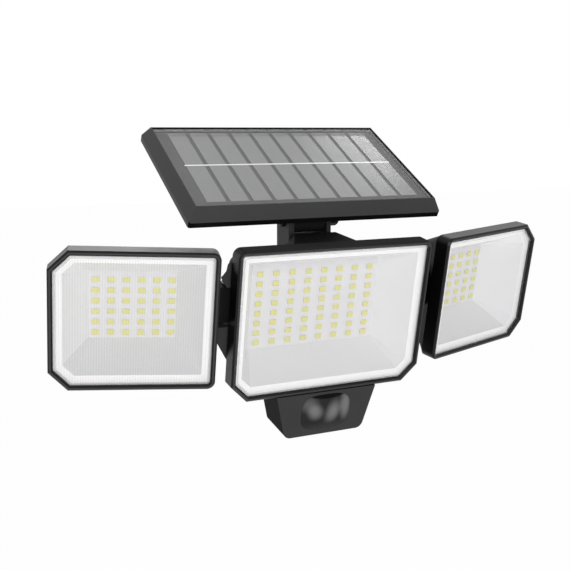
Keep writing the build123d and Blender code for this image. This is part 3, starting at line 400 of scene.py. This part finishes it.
# %% Skin and piece helpers
def skinned(name, rings, back="flat", smooth=False):
    """A mesh through rings of points in mm.  Its back is flat, in strips from edge to edge, or open."""
    mesh = bpy.data.meshes.new(name)
    bm = bmesh.new()
    loops = [[bm.verts.new([v * MM for v in point]) for point in ring] for ring in rings]
    for low, high in zip(loops, loops[1:]):
        for n in range(len(low)):
            m = (n + 1) % len(low)
            bm.faces.new((low[n], low[m], high[m], high[n])).smooth = smooth
    bm.faces.new(loops[-1]).smooth = smooth
    first = loops[0]
    if back == "flat":
        bm.faces.new(first[::-1])
    elif back == "strips":
        for n in range(len(first) // 2 - 1):
            bm.faces.new((first[n], first[n + 1], first[-2 - n], first[-1 - n]))
    bmesh.ops.recalc_face_normals(bm, faces=bm.faces)
    bm.to_mesh(mesh)
    bm.free()
    return mesh


def put(name, data):
    """Stands an object in the scene."""
    made = bpy.data.objects.new(name, data)
    bpy.context.scene.collection.objects.link(made)
    return made


# %% [markdown]
# ## Growing pieces with Geometry Nodes
# What repeats could be copied in a loop, but a tree with named inputs can be tried with other
# counts and pitches by hand.  A modifier runs the tree, and the result is copied out as one plain
# mesh.  Every tree ends in Realize Instances and Set Material, because instances are lost when the
# model is exported.


# %% Growing trees
class Grower(Net):
    """A Geometry Nodes tree with named inputs.  Finish, a material, is always the last of them."""

    def __init__(self, name, inputs):
        super().__init__(bpy.data.node_groups.new(name, "GeometryNodeTree"))
        interface = self.tree.interface
        self.sockets = {}
        for label, kind in {**inputs, "Finish": "Material"}.items():
            made = interface.new_socket(label, in_out="INPUT", socket_type="NodeSocket" + kind)
            self.sockets[label] = made.identifier
        interface.new_socket("Geometry", in_out="OUTPUT", socket_type="NodeSocketGeometry")
        self.entry = self.node("NodeGroupInput")

    def given(self, label):
        """One of the tree's inputs."""
        return self.entry.out(label)

    def close(self, geometry):
        """Makes the geometry plain, paints it and leads it out of the tree."""
        plain = self.node("GeometryNodeRealizeInstances", None, {"Geometry": geometry})
        painted = self.node(
            "GeometryNodeSetMaterial", None, {"Geometry": plain, "Material": self.given("Finish")}
        )
        leave = self.tree.nodes.new("NodeGroupOutput")
        self.feed(leave.inputs["Geometry"], painted)


def grown(name, grower, values, matrix, start=None):
    """Runs a tree on a mesh or on nothing, and puts the result in place as a plain mesh."""
    holder = put(name + "_grower", start or bpy.data.meshes.new(name + "_empty"))
    modifier = holder.modifiers.new("grow", "NODES")
    modifier.node_group = grower.tree
    for label, value in values.items():
        modifier[grower.sockets[label]] = value
    bpy.context.view_layer.update()
    mesh = bpy.data.meshes.new_from_object(holder.evaluated_get(bpy.context.evaluated_depsgraph_get()))
    bpy.data.objects.remove(holder)
    mesh.transform(matrix)
    mesh.name = name
    print(name, "has", len(mesh.polygons), "faces")
    return put(name, mesh)


# %% [markdown]
# ## Light chips
# A chip is a small white case with a yellow window of phosphor in its face.  The cases are solids
# of the frame.  The windows could be painted on by Object coordinates, but a low dome catches the
# light as a drop of resin does.  They stand on a grid, so a short tree sets one window on every
# chip, and each head's windows become one mesh.

# %% Chip case and phosphor
case_white = Finish("chip_case")
case_white.set(Base_Color=(0.80, 0.79, 0.72), Roughness=0.4)
dress(case_white, *(head + "_leds" for head in HEADS))

phosphor = Finish("phosphor")
powder = phosphor.noise(scale=2500.0)
phosphor.set(Base_Color=phosphor.blend((0.63, 0.605, 0.20), (0.72, 0.70, 0.32), powder), Roughness=0.3)

# %% Chip window
CHIP_CORNER = 0.32
CHIP_RINGS = ((2.05, 1.6, 0.0), (2.01, 1.56, 0.07), (1.6, 1.2, 0.12))    # half width, half height, rise


def clipped(half_w, half_h, corner):
    """Corners of a rectangle that is clipped at each of them, clockwise from the left."""
    w, h = half_w - corner, half_h - corner
    return [(-half_w, h), (-w, half_h), (w, half_h), (half_w, h),
            (half_w, -h), (w, -half_h), (-w, -half_h), (-half_w, -h)]


def chip_window():
    """One window in its own frame: a low dome on a clipped rectangle, facing -Y."""
    rings = [[(x, -rise, z) for x, z in clipped(w, h, CHIP_CORNER)] for w, h, rise in CHIP_RINGS]
    mesh = skinned("chip_window", rings, back="open")
    if mesh.polygons[-1].normal.y > 0:     # an open skin may come out facing backwards
        mesh.flip_normals()
    return bpy.data.objects.new("chip_window", mesh)


# %% Grid tree
def grid_grower(piece):
    """Sets a piece on every point of an upright grid."""
    grower = Grower("Windows On Grid", {
        "Columns": "Int", "Rows": "Int", "Pitch Across": "Float", "Pitch Up": "Float",
    })
    columns, rows = grower.given("Columns"), grower.given("Rows")
    grid = grower.node("GeometryNodeMeshGrid", None, {
        "Size X": (columns - 1.0) * grower.given("Pitch Across"),
        "Size Y": (rows - 1.0) * grower.given("Pitch Up"),
        "Vertices X": columns,
        "Vertices Y": rows,
    })
    quarter_turn = (radians(90), 0, 0)
    upright = grower.node("GeometryNodeTransform", None, {"Geometry": grid, "Rotation": quarter_turn})
    source = grower.node("GeometryNodeObjectInfo", None, {"Object": piece}).out("Geometry")
    grower.close(grower.node("GeometryNodeInstanceOnPoints", None, {"Points": upright, "Instance": source}))
    return grower


# %% Phosphor windows
BODIES = {"centre": "lamp", "right": "right_head", "left": "left_head"}
CHIPS = {                 # columns, rows, pitch across and up, and the middle window's place
    "centre": (8, 8, 10.5, 6.1, (-0.4, 25.2, 0.9)),
    "right": (6, 6, 8.37, 6.24, (-0.45, 25.8, -0.5)),
    "left": (6, 6, 8.37, 6.24, (0.45, 25.8, -0.5)),
}
window_grower = grid_grower(chip_window())
for head, (columns, rows, across, up, middle) in CHIPS.items():
    values = {
        "Columns": columns, "Rows": rows, "Pitch Across": across * MM, "Pitch Up": up * MM,
        "Finish": phosphor.material,
    }
    windows = grown(head + "_phosphor", window_grower, values, HEADS[head] @ shift(*middle))
    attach(windows, BODIES[head])

# %% [markdown]
# ## Clear covers
# The covers are clear polycarbonate with fine upright flutes on their inner face, which spread
# the light sideways.  The frame has them as plain plates, so each gets a moulding of its own: one
# ring of points runs round the lens opening, and four copies of it at different depths and insets
# give the seat and the sloping edge.  The flutes, over sixty a cover, could be cut one by one, but
# the inner face is a sheet of narrow upright strips, and a tree folds every second edge of it.

# %% Cover sizes
FLUTE_PITCH = 1.4
FLUTE_DEPTH = 0.16
SEAT_GROW = 1.15          # how far the seat reaches under the rim, past the lens opening
SLOPE_FOOT = -0.2         # foot and top of the sloping edge, inside the opening
SLOPE_TOP = -1.6
COVER_LAYERS = ((SEAT_GROW, 2.72), (SEAT_GROW, 0.85), (SLOPE_FOOT, 0.8), (SLOPE_TOP, 0.1))    # grow, depth
ROUNDING = 1.7            # radius of an opening's round corners
LEAST_RADIUS = 0.4
OPENINGS = {              # half width, half height, cut, and cut corners: tl, tr, br, bl
    "centre": (59.5, 42.225, 8.59, (False, False, True, True)),
    "right": (42.2, 36.725, 8.9, (False, True, True, False)),
    "left": (42.2, 36.725, 8.9, (True, False, False, True)),
}


def flute_count(opening):
    """Flutes from a cover's middle to its side."""
    return round((opening[0] + SEAT_GROW) / FLUTE_PITCH)


for head, opening in OPENINGS.items():
    print(head, "cover has", 2 * flute_count(opening), "flutes")


# %% Cover mesh
def edge_height(x, opening, grow, upper):
    """Height of the outline of a grown opening, over a place across it."""
    half_w, half_h, cut, cuts = opening
    half_w, half_h = half_w + grow, half_h + grow
    cut += grow * (2 - sqrt(2))
    radius = max(ROUNDING + grow, LEAST_RADIUS)
    left, right = (cuts[0], cuts[1]) if upper else (cuts[3], cuts[2])
    from_side = half_w - abs(x)
    is_cut = right if x > 0 else left
    if is_cut:
        drop = max(cut - from_side, 0.0)
    else:
        reach = max(radius - from_side, 0.0)
        drop = radius - sqrt(max(radius**2 - reach**2, 0.0))
    return (half_h - drop) * (1 if upper else -1)


def cover_ring(opening, grow, depth):
    """A grown opening's outline, along its top and back along its foot, a point for each half flute."""
    count = 2 * flute_count(opening)
    places = [n / count * (opening[0] + grow) for n in range(-count, count + 1)]
    top = [(x, depth, edge_height(x, opening, grow, True)) for x in places]
    foot = [(x, depth, edge_height(x, opening, grow, False)) for x in places]
    return top + foot[::-1]


def cover_mesh(name, opening):
    """A closed moulding in the head's own frame, with its inner face in strips half a flute wide."""
    return skinned(name, [cover_ring(opening, *layer) for layer in COVER_LAYERS], back="strips")


# %% Flute tree
def flute_grower():
    """Folds the inner face of a cover: every second strip edge moves into the plate."""
    grower = Grower("Flutes", {
        "Geometry": "Geometry", "Pitch": "Float", "Depth": "Float", "Behind": "Float",
    })
    place = grower.node("GeometryNodeInputPosition")
    place = grower.node("ShaderNodeSeparateXYZ", None, {0: place})
    strip = grower.given("Pitch") * 0.5
    wave = grower.math("PINGPONG", place.out("X"), strip) / strip
    offset = grower.node("ShaderNodeCombineXYZ", None, {"Y": wave * grower.given("Depth") * -1.0})
    grower.close(grower.node("GeometryNodeSetPosition", None, {
        "Geometry": grower.given("Geometry"),
        "Selection": place.out("Y") > grower.given("Behind"),
        "Offset": offset,
    }))
    return grower


# %% Clear plastic
CLEAR = {"centre": (0.02, 0.50), "left": (0.05, 0.50), "right": (0.02, 0.78)}   # flute lines, and the painted shade of the sloping edge
FILM = 0.03                        # how much any place of a cover hides
SLOPE_HIDES = 0.42                 # how much more its sloping edge hides
SLOPE_FACING = (0.2, 0.97)         # how squarely the slope looks ahead: more and less than this
LINE_GREY, FACE_GREY = 0.62, 0.95


def clear_plastic(name, matrix, line, slope_shade):
    """Nearly invisible from the front, with painted shade on the slope and a darker line in every flute."""
    finish = Finish(name)
    across, _, _ = finish.split(finish.place(matrix))
    flute = finish.math("PINGPONG", across / (FLUTE_PITCH * MM), 0.5) * 2.0
    ahead = finish.facing(matrix, AHEAD)
    # painted shade: the sloping edge turns grey, lighter on the right head than on the others
    slope = (ahead < SLOPE_FACING[1]) * (ahead > SLOPE_FACING[0])
    face = finish.blend(grey(LINE_GREY), grey(FACE_GREY), flute)
    finish.set(
        Base_Color=finish.blend(face, grey(slope_shade), slope),
        Alpha=(1 - flute) * line + FILM + slope * SLOPE_HIDES,
        Roughness=0.15,
    )
    return finish


# %% Covers
INNER_FACE = 2.0          # what lies deeper is the inner face, in mm
fluter = flute_grower()
for head, opening in OPENINGS.items():
    finish = clear_plastic("clear_cover_" + head, HEADS[head], *CLEAR[head])
    pitch = (opening[0] + SEAT_GROW) / flute_count(opening)
    values = {
        "Pitch": pitch * MM, "Depth": FLUTE_DEPTH * MM, "Behind": INNER_FACE * MM,
        "Finish": finish.material,
    }
    clear = grown(head + "_fluted_cover", fluter, values, HEADS[head], cover_mesh(head, opening))
    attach(clear, BODIES[head])
    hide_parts(head + "_lens_cover")

# %% [markdown]
# ## Solar cells
# Ten strips of silicon lie side by side under glass, joined by a tinned busbar across their
# middle, and fine silver fingers cross each strip.  The fingers could be modelled, but they are
# thinner than a pixel, so they are lines in the finish.  Under its etched glass the silicon reads
# as a mid grey, and that grey is painted into its colour, partly as the reflection of the white
# studio; its smooth face takes a soft gleam near the far corner.

# %% Cells
FINGER_PITCH = 1.1
FINGER_SHARE = 0.08       # of a pitch, on either side of a finger's middle
silicon = Finish("silicon")
_, along, _ = silicon.split(silicon.place(PANEL))
finger = silicon.math("PINGPONG", along / (FINGER_PITCH * MM), 0.5) < FINGER_SHARE
crystals = silicon.noise(scale=260.0, detail=3.0, matrix=PANEL)
specks = silicon.noise(scale=1400.0, detail=1.0, matrix=PANEL)
# partly painted reflection: the mid grey stands for the white studio reflected in the glass as well as the
# silicon
skin = silicon.blend((0.275, 0.277, 0.280), (0.322, 0.324, 0.327), crystals * 0.5 + specks * 0.5)
silicon.set(Base_Color=silicon.blend(skin, grey(0.36), finger), Roughness=0.18)
dress(silicon, "solar_cells")

sheet_grey = Finish("sheet_grey")
weave = sheet_grey.noise(scale=500.0, matrix=PANEL)
# partly painted reflection: the sheet's grey is lightened for the white studio reflected in the glass
sheet_grey.set(Base_Color=sheet_grey.blend(grey(0.150, 0.002), grey(0.172, 0.002), weave), Roughness=0.7)
dress(sheet_grey, "cell_backsheet")

tinned = Finish("tinned")
tinned.set(Base_Color=grey(0.98), Metallic=0.2, Roughness=0.3)
dress(tinned, "cell_busbars")

# %% [markdown]
# ## Panel glass
# A pane shows only by what it reflects, and that share grows as the view gets flatter, which is
# what a Fresnel node gives.  A glass shader would need many bounces to bring the cells' colour
# back out, so the pane is a white mirror instead, and its alpha is the share that it reflects.
# Solar glass is etched, and from above it reflects a sixth of what a window does, but seen almost
# edge-on it is a mirror like any other.  From the inside its edges are full mirrors, as in every
# pane, so they repeat the grey sheet.  The pane is modelled anew with a worn edge and a hair's
# gap above the cells, because two faces in one plane would flicker.

# %% Glass pane
GLASS_HALF = (77.55, 43.85)
GLASS_LAYERS = ((0.0, -2.86), (0.0, -1.2), (0.09, -0.99), (0.3, -0.9))    # inset and height of each ring


def glass_ring(inset, height):
    """One loop round the pane, in the panel's own frame."""
    w, h = GLASS_HALF[0] - inset, GLASS_HALF[1] - inset
    return [(-w, -h, height), (w, -h, height), (w, h, height), (-w, h, height)]


pane_mesh = skinned("glass_pane", [glass_ring(*layer) for layer in GLASS_LAYERS])
pane_mesh.transform(PANEL)
pane = put("panel_pane", pane_mesh)
print("panel_pane has", len(pane_mesh.polygons), "faces")

# %% Glass finish
WINDOW_GLASS = 1.5        # refractive index
ETCHED = 0.16             # what etching leaves of the reflection from above
FLAT_VIEW = 1.2           # strength of the reflection that comes in when the view gets flat
EDGE_FACING = 0.5         # an edge of the pane faces straight up or down by less

glass = Finish("panel_glass")
mirror = glass.node("ShaderNodeFresnel", None, {"IOR": WINDOW_GLASS})
inside = glass.node("ShaderNodeNewGeometry").out("Backfacing")
edge = abs(glass.facing(PANEL, UP)) < EDGE_FACING
outside = mirror * ETCHED + mirror * mirror * mirror * FLAT_VIEW
glass.set(Base_Color=grey(1.0), Metallic=1.0, Roughness=0.22)
glass.set(Alpha=outside * (1 - inside) + inside * edge)
glass.set(Normal=glass.bump(glass.noise(scale=700.0, matrix=PANEL), strength=0.1, depth=0.03))
pane_mesh.materials.append(glass.material)
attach(pane, "panel")
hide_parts("panel_glass")

# %% [markdown]
# ## Motion sensor
# The sensor looks out through a smoked window: a low dome with a thin lip, which covers the edge
# of its opening.  A squashed sphere would be round at its edge and steep at its foot, so rings of
# points run inwards from the lip and rise on the way, with an outline between an ellipse and a
# rectangle.  The plastic's inner face is moulded into lens cells; four soft spots of painted
# highlight stand for the light that they catch, and painted reflection darkens the top of the dome
# where it would mirror the black head above it.

# %% Smoked window
WINDOW_HALF = (16.3, 11.6)
WINDOW_Z = -58.425         # middle of the window in the lamp's frame
FACE = -0.9                # sensor housing's face
SEAT = 0.5                 # how far the window reaches behind that face
LIP, LIP_CHAMFER = 0.2, 0.08
DOME_START = 0.994         # share of the window inside its chamfer
DOME_STEPS, DOME_STEP = 14, 0.07
BULGE, BULGE_POWER = 2.3, 1.3
SQUARENESS = (2.4, 3.4)    # of the outline in the middle and at the lip; 2 is an ellipse
RING_POINTS = 72


def window_ring(share, depth):
    """One loop of a rounded rectangle, anticlockwise from the right as the camera sees it."""
    inner, outer = SQUARENESS
    power = 2 / (inner + (outer - inner) * share)
    ring = []
    for n in range(RING_POINTS):
        angle = radians(360 / RING_POINTS * n)
        across, up = cos(angle), sin(angle)
        x = WINDOW_HALF[0] * share * abs(across) ** power * (1 if across > 0 else -1)
        z = WINDOW_HALF[1] * share * abs(up) ** power * (1 if up > 0 else -1)
        ring.append((x, depth, z + WINDOW_Z))
    return ring


def dome_depth(share):
    """Depth of the dome's ring that has a share of the window's size."""
    return FACE - LIP - BULGE * (1 - (share / DOME_START) ** 2) ** BULGE_POWER


rings = [window_ring(1.0, FACE + SEAT), window_ring(1.0, FACE - LIP + LIP_CHAMFER)]
for n in range(DOME_STEPS + 1):
    share = DOME_START - DOME_STEP * n
    rings.append(window_ring(share, dome_depth(share)))
window_mesh = skinned("smoked_window", rings, smooth=True)
window_mesh.transform(LAMP)
smoked_window = put("smoked_window", window_mesh)
print("smoked_window has", len(window_mesh.polygons), "faces")

# %% Smoked plastic
HIGHLIGHT_SPOTS = (                  # painted highlights of the lens cells: middle across and up, half width and height, lean, strength
    (-7.6, 1.2, 6.6, 6.6, 0.0, 1.0),
    (4.1, 0.8, 7.2, 9.6, 0.3, 1.05),
    (12.8, 3.4, 5.6, 13.0, 0.0, 1.15),
    (-11.4, 6.0, 8.0, 7.0, 0.0, 0.6),
)
HEAD_REFLECTION, HEAD_REFLECTION_EDGE = (0.6, 15.6, 17.5, 7.0), 30.0     # painted reflection of the head above, and how sharply it ends
FOOT, FOOT_RISE = -6.0, 200.0                      # top of the paler foot, and how fast it comes in
smoked = Finish("smoked_plastic")
across, _, height = smoked.split(smoked.place(LAMP))


def soft_spot(middle_x, middle_z, half_w, half_h, lean=0.0):
    """Full in the middle of an ellipse, fading softly to nothing at its edge."""
    up = (height - (WINDOW_Z + middle_z) * MM) / (half_h * MM)
    over = (across - middle_x * MM) / (half_w * MM) - up * lean
    rest = smoked.math("SUBTRACT", 1.0, over * over + up * up, clamp=True)
    return rest * rest


# painted highlights: soft lighter spots where the lens cells catch the light
lens_cell_highlights = sum(soft_spot(*spot) * strength for *spot, strength in HIGHLIGHT_SPOTS)
foot = smoked.math("SUBTRACT", (WINDOW_Z + FOOT) * MM, height, clamp=True) * FOOT_RISE
shade = smoked.blend(grey(0.020), grey(0.16), lens_cell_highlights)
shade = smoked.blend(shade, grey(0.036), foot)
# painted reflection: the black head above, mirrored on the dome's top, darkens it
shade = smoked.blend(shade, grey(0.0015), soft_spot(*HEAD_REFLECTION) * HEAD_REFLECTION_EDGE)
smoked.set(Base_Color=shade, Roughness=0.4, Specular_IOR_Level=0.06)
window_mesh.materials.append(smoked.material)
dress(smoked, "sensor_window")
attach(smoked_window, "lamp")
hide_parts("sensor_window")

# %% [markdown]
# ## Metal, rubber and the rest
# The screws are zinc plated and the hinges' bolts, nuts and pins are blackened.  The seals,
# the friction discs and the button are black rubber, the battery has a plastic wrap, and the
# washers are dark nylon.  Most of it is hidden, so each gets the plainest finish that holds up
# from a step away.


# %% Small finishes
METAL_ROUGHNESS = 0.2      # from the smoothest to the roughest place of one metal


def metal(name, colour, roughness):
    """Bare or plated metal."""
    finish = Finish(name)
    rough = finish.noise(scale=900.0) * METAL_ROUGHNESS + (roughness - METAL_ROUGHNESS / 2)
    finish.set(Base_Color=colour, Metallic=1.0, Roughness=rough)
    return finish


def plain(name, colour, roughness):
    """One colour all over."""
    finish = Finish(name)
    finish.set(Base_Color=colour, Roughness=roughness)
    return finish


screws = [name for name in nodes if name.endswith("screws")]
hinge_parts = [name for name in nodes if name.endswith(("hinge_bolt", "hinge_nut", "hinge_pin"))]
seals = [name for name in nodes if name.endswith("_seal")]
rubber = moulded("black_rubber", grey(0.015), 0.7, grain=900.0)
dress(metal("zinc_plate", (0.46, 0.46, 0.47), 0.38), *screws)
dress(metal("black_oxide", (0.030, 0.030, 0.032), 0.45), *hinge_parts)
dress(metal("nickel", (0.62, 0.60, 0.56), 0.3), "battery_contacts", "sensor_element")
dress(rubber, *seals, "mode_button", "lamp_friction_discs")
dress(plain("battery_wrap", (0.03, 0.10, 0.25), 0.3), "battery_cell")
dress(plain("nylon", grey(0.07), 0.45), "right_hinge_washers", "left_hinge_washers")

# %% [markdown]
# ## Floor and sky
# The photograph shows the light on plain white.  A floor and a sky as bright as that would wash
# the object out, so both look white to the camera, in mirrors and through clear plastic, and give the
# object a plainer light.  The floor keeps a trace of the object's shadow.


# %% Floor
def looked_at(net):
    """1 where the camera sees a place, straight, in a mirror or through a clear piece, else 0."""
    path = net.node("ShaderNodeLightPath")
    mirrored = net.math("MAXIMUM", path.out("Is Glossy Ray"), path.out("Is Transmission Ray"))
    return net.math("MAXIMUM", path.out("Is Camera Ray"), mirrored)


FLOOR_HALF, FLOOR_Z = 6.0, -0.42      # metres
FLOOR_GLOW = 0.975                    # the rest of what is seen shows the shadow
floor_mesh = bpy.data.meshes.new("floor")
corners = ((-1, -1), (1, -1), (1, 1), (-1, 1))
floor_mesh.from_pydata([(x * FLOOR_HALF, y * FLOOR_HALF, FLOOR_Z) for x, y in corners], [], [(0, 1, 2, 3)])
floor = put("floor", floor_mesh)

pale = Finish("pale_floor")
pale.set(Base_Color=grey(0.9), Roughness=0.9)
glow = pale.node("ShaderNodeEmission", None, {"Color": grey(1.0), "Strength": 1.0})
lit = Wire(pale, pale.shader.outputs[0])
mixed = pale.node("ShaderNodeMixShader", None, {0: looked_at(pale) * FLOOR_GLOW, 1: lit, 2: glow})
surface = next(n for n in pale.tree.nodes if n.type == "OUTPUT_MATERIAL")
pale.feed(surface.inputs["Surface"], mixed)
floor_mesh.materials.append(pale.material)
print("floor at", FLOOR_Z, "m")

# %% Sky
SKY_LIGHT = 0.45                      # what the sky gives the object; it is seen as 1
world = bpy.data.worlds.new("studio")
world.use_nodes = True
bpy.context.scene.world = world
sky = Net(world.node_tree)
background = next(n for n in sky.tree.nodes if n.type == "BACKGROUND")
strength = sky.node("ShaderNodeMapRange", None, {"Value": looked_at(sky), "To Min": SKY_LIGHT, "To Max": 1.0})
sky.feed(background.inputs["Color"], grey(1.0))
sky.feed(background.inputs["Strength"], strength)
print("sky gives", SKY_LIGHT)

# %% [markdown]
# ## Lamps
# Black plastic is shaped by what it reflects.  One large soft lamp from the front does most of the
# work.  A small one behind the panel puts a gleam on its far corner, and a third from behind and
# above lights the tops of the rims.  Point lamps would do it with hard spots, so all are areas.


# %% Soft lamps
def softbox(name, place, aim, size, power):
    """An area lamp that looks at its aim, in metres and watts."""
    light = bpy.data.lights.new(name, "AREA")
    light.shape = "RECTANGLE"
    light.size, light.size_y = size
    light.energy = power
    lamp = put(name, light)
    lamp.location = place
    lamp.rotation_euler = (Vector(aim) - Vector(place)).to_track_quat("-Z", "Y").to_euler()
    print(name, "at", place, power, "W")


MIDDLE = (0, -0.1, 0.02)              # metres
PANEL_CORNER = (0.08, -0.01, 0.12)
softbox("front_light", (-0.4, -1.95, 0.25), MIDDLE, (1.4, 1.2), 22.0)
softbox("panel_gleam", (0.70, 0.55, 0.96), PANEL_CORNER, (0.2, 0.16), 0.32)
softbox("rim_gleam", (0.3, 1.0, 0.62), MIDDLE, (0.45, 0.4), 1.6)

# %% [markdown]
# ## Camera
# The photograph was taken from a little above the lamp and well to its left.  A camera can be set
# by eye, but here it was fitted to the straight edges of the heads and the panel, which gives the
# lens as well.

# %% Camera
CAMERA_PLACE = (-0.24613, -0.55914, 0.11699)      # metres
CAMERA_DOWN, CAMERA_TURN = 9.714, -25.65          # degrees below level, and round from straight ahead
camera_data = bpy.data.cameras.new("camera")
camera_data.sensor_fit = "HORIZONTAL"
camera_data.sensor_width = 36.0
camera_data.lens = 56.73
camera = put("camera", camera_data)
camera.location = CAMERA_PLACE
camera.rotation_euler = Euler((radians(90 - CAMERA_DOWN), 0, radians(CAMERA_TURN)), "XYZ")
bpy.context.scene.camera = camera
bpy.context.scene.view_settings.view_transform = "Standard"
print("camera at", CAMERA_PLACE, "with a lens of", round(camera_data.lens, 2), "mm")

# %% Last update of the view layer
bpy.context.view_layer.update()
